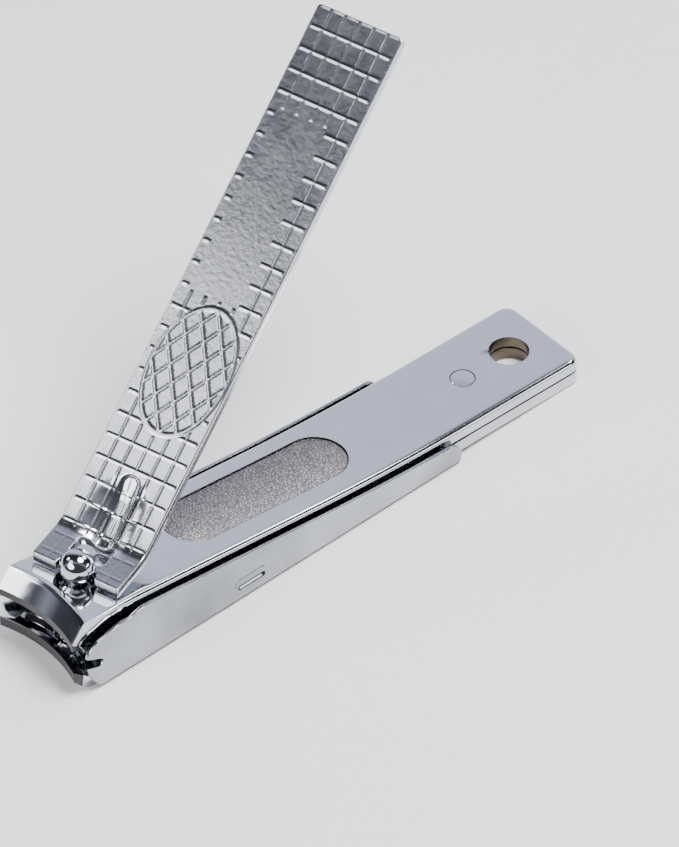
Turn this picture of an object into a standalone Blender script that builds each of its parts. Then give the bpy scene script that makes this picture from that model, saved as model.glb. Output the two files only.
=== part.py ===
"""Large chromed nail clipper with a clippings catcher, jaws open and lever raised.

Frame: +X runs from the jaws to the keyring end, +Z is up, and the origin is the
middle of the catcher's flat underside. Stations are distances from the rear end.
"""
import math

import bmesh
import bpy
from mathutils import Matrix, Vector

MM = 0.001

# Whole body
REAR_X = 47.7            # X of the rear end
ARM_WIDTH = 14.1
ARM_THICK = 1.6
GAP = 0.3                # clearance between pieces that touch
LOWER_REAR = 0.1         # height of the lower arm's underside at the rear end
REAR_TOP = LOWER_REAR + 2.0 * ARM_THICK + GAP
REAR_SLOPE = 0.0355      # the riveted rear climbs towards the jaws
REAR_FLAT = 18.0         # riveted, straight length
UPPER_STRAIGHT = 45.0    # station where the upper arm is straight again
UPPER_SLOPE = 0.1275
LOWER_LEVEL = 22.0       # station where the lower arm runs level
REAR_CORNER = 1.8

# Jaws
JAW_TIP = 84.5           # station of the cutting edges' corners
JAW_RADIUS = 20.5        # plan radius of the concave cutting edges
CURL_START = JAW_TIP - 8.5   # the lips' curve in plan fades in from here
CURL_FULL = JAW_TIP - 3.5
UPPER_EDGE = 7.5         # heights of the two cutting edges
LOWER_EDGE = 3.85
EDGE_LAND = 0.08

# Flexure of the upper arm
FLEX_CUT = 26.0
FLEX_GAP = 0.3

# Holes
KEYRING_STATION = 6.1
KEYRING_RADIUS = 2.6
RIVET_STATION = 13.9
RIVET_RADIUS = 1.3
RIVET_HEAD = 1.6
RIVET_DEPTH = 0.45

# File
FILE_STATION = 48.3
FILE_LENGTH = 28.3
FILE_WIDTH = 8.0
FILE_SIDEWAYS = 0.3      # the file lies a little towards +Y
FILE_THICK = 0.4
FILE_RECESS = 0.78

# Pivot pin, square to the upper arm's top face
PIN_STATION = 77.7
PIN_RADIUS = 2.1
PIN_HEAD_RADIUS = 2.33
SHANK_RADIUS = 1.6       # narrower lower end, through the lower arm
SHANK_HOLE = 1.9
SHANK_TOP = -6.5         # below the upper arm when the jaws are closed
PIN_HEIGHT = 4.4         # above the upper arm
PIN_HOLE = 2.4
PIN_NOTCH_DEPTH = 0.35   # the notch starts this far behind the pin's axis
PIN_NOTCH_LOW = -0.1
PIN_NOTCH_HIGH = 2.5
FLANGE_RADIUS = 2.2
FLANGE_RECESS = 2.5
FLANGE_THICK = 0.4
FLANGE_SEAT = -9.42      # seat of the flange, below the upper arm's top face

# Lever
SWIVEL = 16.5            # degrees, the handle end swung to +Y
LEVER_WIDTH = 12.5
FORK_WIDTH = 12.6
LEVER_THICK = 1.55
FORK_TIP = -0.25         # distances along the lever, from the pin's axis
FORK_LENGTH = 6.6
FORK_CLEAR = 0.25
FORK_ANGLE = 10.5        # degrees above the upper arm
HANDLE_ANGLE = 41.2
HANDLE_LENGTH = 72.4
LEVER_CORNER = 0.6
BEND_RADIUS = 1.6
CROSSBAR_FROM = 0.8
CROSSBAR_TO = 2.0
WINDOW_TO = 5.6
WINDOW_WIDTH = 5.2
SLOT_WIDTH = 5.6
HEEL_UP = 0.8            # middle of the heel, up the handle from the bend
HEEL_SIZE = (2.0, 1.7, 1.2)  # half lengths along, across and through the handle
HEEL_LOW = 0.35          # lowest point of the heel above the upper arm

# Catcher
SHEET = 0.5
SIDE_GAP = 0.7
CATCHER_REAR = 21.4
CATCHER_DROP = 0.85      # side plates' upper edge, below the upper arm's top
FLOOR_FRONT = 74.0
DENT_STATION = 56.0
DENT_HEIGHT = 2.35
DENT_LENGTH = 5.0
DENT_TALL = 1.6
DENT_DEPTH = 0.45

CHROME = (0.62, 0.64, 0.69)
STEEL = (0.36, 0.34, 0.33)


def remove_everything():
    for item in list(bpy.data.objects):
        bpy.data.objects.remove(item, do_unlink=True)


def metal(name, color, roughness):
    material = bpy.data.materials.new(name)
    material.use_nodes = True
    shader = material.node_tree.nodes["Principled BSDF"]
    shader.inputs["Base Color"].default_value = (*color, 1.0)
    shader.inputs["Metallic"].default_value = 1.0
    shader.inputs["Roughness"].default_value = roughness
    return material


def make_object(name, bm, material=None, smooth=40.0):
    """Turn a bmesh in millimetres into a named object in metres."""
    bmesh.ops.scale(bm, vec=(MM, MM, MM), verts=bm.verts)
    bmesh.ops.recalc_face_normals(bm, faces=bm.faces)
    mesh = bpy.data.meshes.new(name)
    bm.to_mesh(mesh)
    bm.free()
    mesh.shade_smooth()
    mesh.set_sharp_from_angle(angle=math.radians(smooth))
    if material:
        mesh.materials.append(material)
    item = bpy.data.objects.new(name, mesh)
    bpy.context.collection.objects.link(item)
    return item


def boolean(target, tool, operation):
    modifier = target.modifiers.new(tool.name, "BOOLEAN")
    modifier.operation = operation
    modifier.object = tool
    modifier.solver = "EXACT"
    tool.hide_render = True
    tool.display_type = "WIRE"


def smoothstep(value):
    t = min(max(value, 0.0), 1.0)
    return t * t * (3.0 - 2.0 * t)


def upper_top(station):
    """Height of the upper arm's top face: straight, an arc, then straight."""
    height = REAR_TOP + REAR_SLOPE * station
    rise = UPPER_SLOPE - REAR_SLOPE
    bend = UPPER_STRAIGHT - REAR_FLAT
    if station > REAR_FLAT:
        along = min(station, UPPER_STRAIGHT) - REAR_FLAT
        height += rise * along * along / (2.0 * bend)
    if station > UPPER_STRAIGHT:
        height += rise * (station - UPPER_STRAIGHT)
    return height


def lower_base(station):
    """Height of the lower arm's underside: it climbs, then runs level."""
    start = LOWER_LEVEL - 5.0
    height = LOWER_REAR + REAR_SLOPE * min(station, start)
    if station > start:
        along = min(station, LOWER_LEVEL) - start
        height += REAR_SLOPE * (along - along * along / 10.0)
    return height


def setback(y):
    """How far the concave jaw lies behind its corners, at a width y."""
    edge = math.sqrt(JAW_RADIUS ** 2 - (ARM_WIDTH / 2.0) ** 2)
    return math.sqrt(JAW_RADIUS ** 2 - y * y) - edge


def half_width(station):
    """Half width of an arm, narrowed by the rounded rear corners."""
    if station >= REAR_CORNER:
        return ARM_WIDTH / 2.0
    inset = REAR_CORNER - station
    return ARM_WIDTH / 2.0 - REAR_CORNER + math.sqrt(REAR_CORNER ** 2 - inset * inset)


def strip(rows, columns, place):
    """Closed strip from rows of (upper point, lower point), placed across by place."""
    bm = bmesh.new()
    count = len(columns)
    sheets = []
    for side in (0, 1):
        sheets.append([[bm.verts.new(place(row[side], c)) for c in columns] for row in rows])
    top, low = sheets
    for i in range(len(rows) - 1):
        for j in range(count - 1):
            bm.faces.new((top[i][j], top[i][j + 1], top[i + 1][j + 1], top[i + 1][j]))
            bm.faces.new((low[i][j], low[i + 1][j], low[i + 1][j + 1], low[i][j + 1]))
        for j in (0, count - 1):
            bm.faces.new((top[i][j], top[i + 1][j], low[i + 1][j], low[i][j]))
    for i in (0, len(rows) - 1):
        for j in range(count - 1):
            bm.faces.new((top[i][j], low[i][j], low[i][j + 1], top[i][j + 1]))
    return bm


def place_on_arm(height):
    """Placer for arm rows: a point is (station, offset from the arm's own height)."""
    def place(point, across):
        station, offset = point
        y = across * half_width(station)
        fade = smoothstep((station - CURL_START) / (CURL_FULL - CURL_START))
        moved = station - fade * setback(y)
        return Vector((REAR_X - moved, y, height(moved) + offset))
    return place


def arm_stations(start, end):
    """Stations along an arm, close together round the rear corners and the bend."""
    stations = [start]
    if start < REAR_CORNER:
        turns = [math.radians(a) for a in (22.5, 45.0, 67.5, 90.0)]
        stations += [REAR_CORNER * (1.0 - math.cos(a)) for a in turns]
    inner = [4.0, 10.0, 18.0, 22.0, 26.0, 30.0, 35.0, 40.0, 45.0, 60.0, 73.0]
    stations += [s for s in inner if stations[-1] + 0.5 < s < end - 0.5]
    stations.append(end)
    return stations


ACROSS = [-1.0, -0.78, -0.52, -0.26, 0.0, 0.26, 0.52, 0.78, 1.0]


def upper_jaw_rows():
    """Rows of the upper lip: the crease, the sloping lip and the ground edge."""
    tip = JAW_TIP
    edge = UPPER_EDGE - upper_top(tip)
    return [
        ((tip - 6.05, 0.0), (tip - 6.95, -1.7)),
        ((tip - 4.05, 0.0), (tip - 5.35, -2.3)),
        ((tip - 2.65, 0.03), (tip - 4.05, -2.45)),
        ((tip - 2.1, -0.07), (tip - 3.15, -2.55)),
        ((tip - 1.7, -0.45), (tip - 2.45, -2.85)),
        ((tip, edge + 1.2), (tip - 1.15, edge + 0.43)),
        ((tip, edge + EDGE_LAND), (tip - EDGE_LAND, edge)),
    ]


def lower_jaw_rows():
    """Rows of the lower lip, which first dips into a heel and then turns up."""
    tip = JAW_TIP
    edge = LOWER_EDGE - lower_base(tip)
    return [
        ((tip - 5.05, 1.55), (tip - 5.45, 0.0)),
        ((tip - 3.85, 1.35), (tip - 3.85, -0.45)),
        ((tip - 3.05, 1.05), (tip - 2.85, -0.75)),
        ((tip - 2.45, 1.1), (tip - 2.25, -0.7)),
        ((tip - 1.65, 1.7), (tip - 1.45, -0.1)),
        ((tip - 0.85, 2.4), (tip, edge - 1.5)),
        ((tip - EDGE_LAND, edge), (tip, edge - EDGE_LAND)),
    ]


def make_upper_arm(material):
    """Front of the spring arm, ahead of its flexure, with the upper jaw."""
    rows = [((s, 0.0), (s, -ARM_THICK)) for s in arm_stations(FLEX_CUT + FLEX_GAP, CURL_START)]
    rows += upper_jaw_rows()
    arm = make_object("upper_arm", strip(rows, ACROSS, place_on_arm(upper_top)), material)
    boolean(arm, pin_cylinder("upper_pin_hole", PIN_HOLE, -4.0, 3.0), "DIFFERENCE")
    boolean(arm, file_outline("file_recess_cut", 0.2, -FILE_RECESS, 2.0), "DIFFERENCE")
    return arm


def make_upper_arm_tail(material):
    """Rear of the same arm, riveted to the lower arm."""
    rows = [((s, 0.0), (s, -ARM_THICK)) for s in arm_stations(0.0, FLEX_CUT)]
    tail = make_object("upper_arm_tail", strip(rows, ACROSS, place_on_arm(upper_top)), material)
    boolean(tail, keyring_cutter("tail_keyring_cut"), "DIFFERENCE")
    boolean(tail, rivet_solid("tail_rivet_cut", 0.15), "DIFFERENCE")
    return tail


def make_lower_arm(material):
    rows = [((s, ARM_THICK), (s, 0.0)) for s in arm_stations(0.0, CURL_START)]
    rows += lower_jaw_rows()
    arm = make_object("lower_arm", strip(rows, ACROSS, place_on_arm(lower_base)), material)
    boolean(arm, keyring_cutter("lower_keyring_cut"), "DIFFERENCE")
    boolean(arm, rivet_solid("lower_rivet_cut", 0.15), "DIFFERENCE")
    boolean(arm, pin_cylinder("lower_pin_hole", SHANK_HOLE, -12.0, -7.0), "DIFFERENCE")
    boolean(arm, pin_cylinder("flange_recess_cut", FLANGE_RECESS, -13.0, FLANGE_SEAT),
            "DIFFERENCE")
    return arm


def turned(profile, segments=24):
    """Solid of revolution round Z from (radius, height) points, bottom to top."""
    bm = bmesh.new()
    rings = []
    for radius, height in profile:
        ring = []
        for k in range(segments):
            angle = 2.0 * math.pi * k / segments
            ring.append(bm.verts.new((radius * math.cos(angle), radius * math.sin(angle), height)))
        rings.append(ring)
    for lower, upper in zip(rings, rings[1:]):
        for k in range(segments):
            n = (k + 1) % segments
            bm.faces.new((lower[k], lower[n], upper[n], upper[k]))
    bm.faces.new(list(reversed(rings[0])))
    bm.faces.new(rings[-1])
    return bm


def rear_frame(station):
    """Frame on the upper arm's top face at a rear station, square to that face."""
    slope = math.atan(REAR_SLOPE)
    spot = Vector((REAR_X - station, 0.0, upper_top(station)))
    return Matrix.Translation(spot) @ Matrix.Rotation(slope, 4, "Y")


def keyring_cutter(name):
    bm = turned([(KEYRING_RADIUS, -6.0), (KEYRING_RADIUS, 2.0)], 32)
    bmesh.ops.transform(bm, matrix=rear_frame(KEYRING_STATION), verts=bm.verts)
    return make_object(name, bm)


def rivet_solid(name, grow, material=None):
    """Rivet with a flush countersunk head at each end; grow makes its hole."""
    low = -2.0 * ARM_THICK - GAP
    reach = 0.5 if grow else -0.05
    bm = turned([
        (RIVET_HEAD + grow, low - reach),
        (RIVET_HEAD + grow, low + 0.12),
        (RIVET_RADIUS + grow, low + RIVET_DEPTH),
        (RIVET_RADIUS + grow, -RIVET_DEPTH),
        (RIVET_HEAD + grow, -0.12),
        (RIVET_HEAD + grow, reach),
    ])
    bmesh.ops.transform(bm, matrix=rear_frame(RIVET_STATION), verts=bm.verts)
    return make_object(name, bm, material)


def pin_frame():
    """Frame of the pivot pin: origin on the upper arm's top face, +Z along the pin."""
    slope = math.atan(UPPER_SLOPE)
    spot = Vector((REAR_X - PIN_STATION, 0.0, upper_top(PIN_STATION)))
    return Matrix.Translation(spot) @ Matrix.Rotation(slope, 4, "Y")


def pin_cylinder(name, radius, low, high):
    bm = turned([(radius, low), (radius, high)], 32)
    bmesh.ops.transform(bm, matrix=pin_frame(), verts=bm.verts)
    return make_object(name, bm)


def lever_frame():
    """Frame of the lever at rest: as the pin's, turned so that +X runs up the handle."""
    return pin_frame() @ Matrix.Rotation(math.radians(SWIVEL), 4, "Z")


def hinge_point():
    """Middle of the lever's crossbar, in the lever's frame."""
    along = (CROSSBAR_FROM + CROSSBAR_TO) / 2.0
    rise = math.tan(math.radians(FORK_ANGLE)) * (along - FORK_TIP)
    return Vector((along, 0.0, FORK_CLEAR + rise + LEVER_THICK / 2.0))


def make_pin(material):
    """Pin with a flange under the lower jaw, a notched neck and a domed head."""
    flange_top = FLANGE_SEAT - GAP
    dome_start = 2.55
    dome = [
        (PIN_HEAD_RADIUS * math.cos(a), dome_start + (PIN_HEIGHT - dome_start) * math.sin(a))
        for a in [math.radians(d) for d in (15, 30, 45, 60, 75, 86)]
    ]
    bm = turned([
        (FLANGE_RADIUS - 0.15, flange_top - FLANGE_THICK),
        (FLANGE_RADIUS, flange_top - FLANGE_THICK + 0.15),
        (FLANGE_RADIUS, flange_top),
        (SHANK_RADIUS, flange_top + 0.02),
        (SHANK_RADIUS, SHANK_TOP),
        (PIN_RADIUS, SHANK_TOP + 0.4),
        (PIN_RADIUS, 0.3),
        (PIN_HEAD_RADIUS, dome_start - 0.1),
        *dome,
    ], 32)
    frame = lever_frame()
    bmesh.ops.transform(bm, matrix=frame, verts=bm.verts)
    pin = make_object("pivot_pin", bm, material)
    notch = box_bm((PIN_NOTCH_DEPTH, 4.0), (-4.0, 4.0), (PIN_NOTCH_LOW, PIN_NOTCH_HIGH))
    bmesh.ops.transform(notch, matrix=frame, verts=notch.verts)
    boolean(pin, make_object("pin_notch_cut", notch), "DIFFERENCE")
    return pin


def box_bm(xs, ys, zs):
    bm = bmesh.new()
    bmesh.ops.create_cube(bm, size=1.0)
    for vert in bm.verts:
        vert.co.x = xs[0] if vert.co.x < 0 else xs[1]
        vert.co.y = ys[0] if vert.co.y < 0 else ys[1]
        vert.co.z = zs[0] if vert.co.z < 0 else zs[1]
    return bm


def prism(outline, low, high, axis="Z"):
    """Extrude a closed outline of (a, b) points along Z, or along Y as (x, z) points."""
    bm = bmesh.new()
    ends = []
    for level in (low, high):
        if axis == "Z":
            ends.append([bm.verts.new((a, b, level)) for a, b in outline])
        else:
            ends.append([bm.verts.new((a, level, b)) for a, b in outline])
    count = len(outline)
    bm.faces.new(ends[0])
    bm.faces.new(ends[1])
    for k in range(count):
        n = (k + 1) % count
        bm.faces.new((ends[0][k], ends[0][n], ends[1][n], ends[1][k]))
    return bm


def stadium(length, width, steps=10):
    """Outline of a rectangle with full round ends, centred on the origin."""
    radius = width / 2.0
    points = []
    for side in (1, -1):
        for k in range(steps + 1):
            angle = math.pi * (k / steps - 0.5)
            x = side * (length / 2.0 - radius + radius * math.cos(angle))
            points.append((x, side * radius * math.sin(angle)))
    return points


def rounded_box(xs, ys, radius, steps=4):
    """Outline of a rectangle with round corners."""
    points = []
    corners = [(xs[1], ys[0], -90), (xs[1], ys[1], 0), (xs[0], ys[1], 90), (xs[0], ys[0], 180)]
    for x, y, start in corners:
        cx = x - math.copysign(radius, x - sum(xs) / 2.0)
        cy = y - math.copysign(radius, y - sum(ys) / 2.0)
        for k in range(steps + 1):
            angle = math.radians(start + 90.0 * k / steps)
            points.append((cx + radius * math.cos(angle), cy + radius * math.sin(angle)))
    return points


def file_frame():
    slope = math.atan(UPPER_SLOPE * 0.985)
    spot = Vector((REAR_X - FILE_STATION, FILE_SIDEWAYS, upper_top(FILE_STATION)))
    return Matrix.Translation(spot) @ Matrix.Rotation(slope, 4, "Y")


def file_outline(name, grow, low, high, material=None):
    outline = stadium(FILE_LENGTH + 2.0 * grow, FILE_WIDTH + 2.0 * grow)
    bm = prism(outline, low, high)
    bmesh.ops.transform(bm, matrix=file_frame(), verts=bm.verts)
    return make_object(name, bm, material)


def make_file(material):
    """Etched steel file plate, lying in its recess just below the arm's face."""
    top = -0.12
    return file_outline("nail_file", 0.0, top - FILE_THICK, top, material)


def heading(angle):
    """Unit vector (along, height) at an angle above the upper arm."""
    return Vector((math.cos(angle), math.sin(angle)))


def lever_path():
    """Underside of the lever as (point, angle) pairs, with a small bend radius."""
    fork = math.radians(FORK_ANGLE)
    handle = math.radians(HANDLE_ANGLE)
    start = Vector((FORK_TIP, FORK_CLEAR))
    tangent = BEND_RADIUS * math.tan((handle - fork) / 2.0)
    entry = start + (FORK_LENGTH - tangent) * heading(fork)
    centre = entry + BEND_RADIUS * Vector((-math.sin(fork), math.cos(fork)))
    path = [(start, fork), (start.lerp(entry, 0.5), fork)]
    for k in range(7):
        angle = fork + (handle - fork) * k / 6.0
        outward = Vector((math.sin(angle), -math.cos(angle)))
        path.append((centre + BEND_RADIUS * outward, angle))
    last = path[-1][0]
    along = [HANDLE_LENGTH * share for share in (0.25, 0.5, 0.75)]
    along += [HANDLE_LENGTH - LEVER_CORNER * (1.0 - math.sin(math.radians(a)))
              for a in (0.0, 22.5, 45.0, 67.5, 90.0)]
    path += [(last + distance * heading(handle), handle) for distance in along]
    return path


def lever_half_width(point, end):
    """Half width of the lever: a wider fork, and round corners at the far end."""
    share = smoothstep((point.x - FORK_TIP) / FORK_LENGTH)
    half = (FORK_WIDTH + (LEVER_WIDTH - FORK_WIDTH) * share) / 2.0
    left = (end - point).dot(heading(math.radians(HANDLE_ANGLE)))
    if left < LEVER_CORNER:
        inset = LEVER_CORNER - left
        half += math.sqrt(max(LEVER_CORNER ** 2 - inset * inset, 0.0)) - LEVER_CORNER
    return half


def make_lever(material):
    """Forked, bent lever with a crossbar, a window behind it and a pressed heel."""
    path = lever_path()
    end = path[-1][0]
    rows = []
    for point, angle in path:
        normal = Vector((-math.sin(angle), math.cos(angle)))
        half = lever_half_width(point, end)
        rows.append(((point + LEVER_THICK * normal, half), (point, half)))

    def place(row_point, across):
        spot, half = row_point
        return Vector((spot.x, across * half, spot.y))

    bm = strip(rows, [-1.0, -0.4, 0.0, 0.4, 1.0], place)
    frame = lever_frame()
    bmesh.ops.transform(bm, matrix=frame, verts=bm.verts)
    lever = make_object("lever", bm, material)

    boolean(lever, heel_bulge("lever_heel_add", frame), "UNION")
    slot = SLOT_WIDTH / 2.0
    window = WINDOW_WIDTH / 2.0
    openings = {
        "lever_slot_cut": rounded_box((-4.0, CROSSBAR_FROM), (-slot, slot), 0.7),
        "lever_window_cut": rounded_box((CROSSBAR_TO, WINDOW_TO), (-window, window), 0.9),
    }
    hinge = hinge_point()
    tilt = Matrix.Translation(hinge) @ Matrix.Rotation(-math.radians(FORK_ANGLE), 4, "Y")
    for name, outline in openings.items():
        cutter = prism([(x - hinge.x, y) for x, y in outline], -2.4, 2.4)
        bmesh.ops.transform(cutter, matrix=frame @ tilt, verts=cutter.verts)
        boolean(lever, make_object(name, cutter), "DIFFERENCE")

    return lever


def heel_bulge(name, frame):
    """Bulge pressed out under the bend, which bears on the upper arm."""
    long, wide, tall = HEEL_SIZE
    tilt = math.radians(HANDLE_ANGLE)
    drop = math.hypot(long * math.sin(tilt), tall * math.cos(tilt))
    along = FORK_TIP + FORK_LENGTH * math.cos(math.radians(FORK_ANGLE))
    along += HEEL_UP * math.cos(tilt)
    spot = (along, 0.0, HEEL_LOW + drop)
    place = Matrix.Translation(spot) @ Matrix.Rotation(-tilt, 4, "Y")
    bm = bmesh.new()
    bmesh.ops.create_icosphere(bm, subdivisions=3, radius=1.0)
    matrix = frame @ place @ Matrix.Diagonal((long, wide, tall, 1.0))
    bmesh.ops.transform(bm, matrix=matrix, verts=bm.verts)
    return make_object(name, bm)


def catcher_top(station):
    """Height of the side plates' upper edge, parallel to the upper arm's top."""
    return upper_top(station) - CATCHER_DROP


def arc(centre, radius, start, end, steps):
    points = []
    for k in range(steps + 1):
        angle = math.radians(start + (end - start) * k / steps)
        points.append((centre[0] + radius * math.cos(angle), centre[1] + radius * math.sin(angle)))
    return points


def catcher_outline():
    """Side plate outline as (station, height), round from the rear to the notched nose."""
    outline = [(CATCHER_REAR, 0.0)]
    corner = 1.8
    top = catcher_top(CATCHER_REAR + corner)
    outline += arc((CATCHER_REAR + corner, top - corner), corner, 180.0, 90.0, 4)
    outline += [(s, catcher_top(s)) for s in (28.0, 33.0, 38.0, 45.0, 60.0, 73.8)]
    outline += [(76.0, upper_top(76.0) - 1.65), (78.1, 8.8), (80.1, 8.3), (81.4, 8.0)]
    outline += [(82.3, 7.5), (82.9, 6.9), (83.2, 6.1), (80.9, 4.95), (80.6, 4.55)]
    outline += [(80.75, 4.1), (81.25, 3.85), (83.15, 4.5), (82.9, 3.2), (82.2, 1.85)]
    outline += [(81.2, 0.75), (79.6, 0.0)]
    return outline


def make_catcher(material):
    """Thin U-shaped cover round the lower arm, with long side plates."""
    inner = ARM_WIDTH / 2.0 + SIDE_GAP
    outer = inner + SHEET
    side = [(REAR_X - s, z) for s, z in catcher_outline()]
    catcher = make_object("clippings_catcher", prism(side, -outer, outer, "Y"), material)
    core = box_bm((REAR_X - 90.0, REAR_X - 15.0), (-inner, inner), (SHEET, 15.0))
    boolean(catcher, make_object("catcher_core_cut", core), "DIFFERENCE")
    front = box_bm((REAR_X - 90.0, REAR_X - FLOOR_FRONT), (-inner, inner), (-2.0, 2.0))
    boolean(catcher, make_object("catcher_front_cut", front), "DIFFERENCE")
    for sign, tag in ((-1, "near"), (1, "far")):
        boolean(catcher, dent(f"dent_in_{tag}", sign * (inner + 0.05)), "UNION")
        boolean(catcher, dent(f"dent_out_{tag}", sign * outer), "DIFFERENCE")
    return catcher


def dent(name, y):
    """Slot-shaped bump that grips the lower arm's edge."""
    bm = bmesh.new()
    bmesh.ops.create_uvsphere(bm, u_segments=12, v_segments=6, radius=1.0)
    shape = Matrix.Diagonal((DENT_LENGTH / 2.0, DENT_DEPTH, DENT_TALL / 2.0, 1.0))
    spot = Matrix.Translation((REAR_X - DENT_STATION, y, DENT_HEIGHT))
    bmesh.ops.transform(bm, matrix=spot @ shape, verts=bm.verts)
    return make_object(name, bm)


def set_origin(item, point):
    """Move an object's origin to a world point in millimetres, keeping its place."""
    target = Vector(point) * MM
    item.data.transform(Matrix.Translation(-target))
    item.location = target


def main():
    remove_everything()
    chrome = metal("polished_chrome", CHROME, 0.08)
    chrome_lever = metal("chromed_lever", CHROME, 0.12)
    chrome_pin = metal("chromed_pin", CHROME, 0.1)
    chrome_sheet = metal("chromed_sheet", CHROME, 0.1)
    file_steel = metal("etched_file", STEEL, 0.5)

    make_lower_arm(chrome)
    make_upper_arm_tail(chrome)
    rivet_solid("rear_rivet", 0.0, chrome)
    make_catcher(chrome_sheet)

    flex = Vector((REAR_X - FLEX_CUT, 0.0, upper_top(FLEX_CUT) - ARM_THICK / 2.0))
    upper = make_upper_arm(chrome)
    set_origin(upper, flex)
    plate = make_file(file_steel)
    set_origin(plate, flex)

    pin = make_pin(chrome_pin)
    set_origin(pin, pin_frame().translation)
    lever = make_lever(chrome_lever)
    set_origin(lever, lever_frame() @ hinge_point())


main()
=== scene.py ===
"""Looks for the nail clipper: detailed chromed pieces, materials and studio.

Lengths are in millimetres until a mesh is finished. Each stamped piece is built flat,
where holes and rounded edges are simple, and is then folded to its real shape. Flat
coordinates are (along, across, height through the sheet).
"""

import math

import bmesh
import bpy
from mathutils import Matrix, Vector


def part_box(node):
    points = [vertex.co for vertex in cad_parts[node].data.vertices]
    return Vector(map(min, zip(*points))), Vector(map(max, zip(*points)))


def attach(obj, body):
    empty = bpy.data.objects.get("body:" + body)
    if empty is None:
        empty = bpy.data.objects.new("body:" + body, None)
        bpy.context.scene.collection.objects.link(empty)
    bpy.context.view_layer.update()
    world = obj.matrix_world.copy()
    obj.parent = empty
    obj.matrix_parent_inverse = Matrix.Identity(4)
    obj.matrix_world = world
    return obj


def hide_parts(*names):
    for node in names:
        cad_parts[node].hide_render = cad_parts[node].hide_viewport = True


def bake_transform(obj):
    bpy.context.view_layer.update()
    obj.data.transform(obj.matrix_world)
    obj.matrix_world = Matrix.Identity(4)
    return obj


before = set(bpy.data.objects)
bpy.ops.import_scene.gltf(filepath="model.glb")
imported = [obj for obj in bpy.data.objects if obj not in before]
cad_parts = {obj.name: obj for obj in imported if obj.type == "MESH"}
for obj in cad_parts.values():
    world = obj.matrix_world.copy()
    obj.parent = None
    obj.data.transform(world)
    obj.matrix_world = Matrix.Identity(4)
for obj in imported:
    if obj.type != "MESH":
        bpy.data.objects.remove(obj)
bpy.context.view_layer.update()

MM = 0.001

# Arms, the same sizes as the CAD's
REAR_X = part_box("upper_arm_tail")[1].x / MM
ARM_WIDTH = (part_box("lower_arm")[1].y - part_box("lower_arm")[0].y) / MM
JAW_TIP = REAR_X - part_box("upper_arm")[0].x / MM
ARM_THICK = 1.6
ARM_GAP = 0.3
LOWER_REAR = 0.1
REAR_TOP = LOWER_REAR + 2.0 * ARM_THICK + ARM_GAP
REAR_SLOPE = 0.0355
REAR_FLAT = 18.0
UPPER_STRAIGHT = 45.0
UPPER_SLOPE = 0.1275
LOWER_LEVEL = 22.0
LOWER_BEND = 5.0
REAR_CORNER = 1.8
JAW_RADIUS = 20.5
UPPER_EDGE = 7.5
LOWER_EDGE = 3.85
JAW_LENGTH = 8.0             # the jaw end of an arm, which has its own cross-section
UPPER_PAINTED_SHADE = 1.15          # flat length of each jaw's front that is painted near-black as painted shade
LOWER_PAINTED_SHADE = 2.2
SETBACK_FROM = 8.5           # before the tip, where the concave edge starts to fade in
CROWN_TO = 10.0              # before the tip, where the rolled-over edges start to fade out
FADE_LENGTH = 5.0
BEVEL_ANGLE = 50.0           # degrees, edges sharper than this are rounded
EDGE_ROUND = 0.16
EDGE_CROWN = 0.8             # radius of the rolled-over outer edges on top of the arms
ARM_STEP = 1.5               # widths of the strips that a flat arm is cut into
JAW_STEP = 0.15
ACROSS_STEP = 0.6

# Holes and the file's recess
KEYRING_STATION = 6.1
KEYRING_RADIUS = 2.6
RIVET_STATION = 13.9
RIVET_RADIUS = 1.6
PIN_STATION = 77.7
UPPER_PIN_HOLE = 2.4
LOWER_PIN_HOLE = 1.9
FILE_STATION = 48.3
FILE_LENGTH = 28.3
FILE_WIDTH = 8.0
FILE_SIDEWAYS = 0.3
FILE_RECESS = 0.78
FILE_GAP = 0.2               # joint line round the file
FILE_THICK = 0.42
FILE_LIFT = 0.22             # of the file over the floor of its recess
RIVET_GAP = 0.06

# Pin
PIN_RADIUS = 2.1
PIN_HEAD_RADIUS = 2.28
PIN_NECK_RADIUS = 1.5
PIN_HEIGHT = 4.4
PIN_NOTCH_DEPTH = 0.35
PIN_NOTCH = (-0.1, 2.5)
SHANK_RADIUS = 1.6
SHANK_TOP = -6.5
FLANGE_TOP = -9.72
FLANGE_THICK = 0.4
FLANGE_RADIUS = 2.2
PIN_LEAN = 1.15              # how much further forward the pin and its flange meet the lower arm
FLANGE_LEAN = 1.2
BALL_FOOT = 0.35             # height of the ball's foot over the arm
PIN_UNDER = 46               # degrees that the ball goes on below its middle
PIN_ROUND = 0.12
LOWER_PIN_GAP = 0.1
FLANGE_GAP = 0.35
FLANGE_RECESS = 0.5

# Lever
SWIVEL = 16.5
LEVER_WIDTH = 12.5
FORK_WIDTH = 12.6
LEVER_THICK = 1.55
FORK_TIP = -0.25
FORK_CLEAR = 0.25
FORK_LENGTH = 6.6
FORK_ANGLE = 10.5
HANDLE_ANGLE = 41.2
HANDLE_LENGTH = 72.4
BEND_RADIUS = 5.2
BEND_ALLOWANCE = 0.45        # flat length that the bend and the fork's overhang add
LEVER_CORNER = 0.6
FORK_CORNER = 0.25
SLOT_CORNER = 0.7
WINDOW_CORNER = 0.9
LEVER_ROUND = 0.14
LEVER_STEP = 0.35            # widths of the strips, in the sheet and where it is embossed
EMBOSS_STEP = 0.14
LEVER_MIDDLE = 4.5           # half width of the part cut into strips for the hollow
SPINE_STEP = 0.1
CROSSBAR = (0.8, 2.0)
WINDOW_TO = 5.6
WINDOW_WIDTH = 5.2
SLOT_WIDTH = 5.6
GROOVE_FROM = (4.2, 6.2)     # the pressed groove fades in here and runs up the handle
GROOVE_TO = 15.9
GROOVE_RADIUS = 1.5
GROOVE_DEPTH = 0.6
GROOVE_WALL = 0.7
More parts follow.
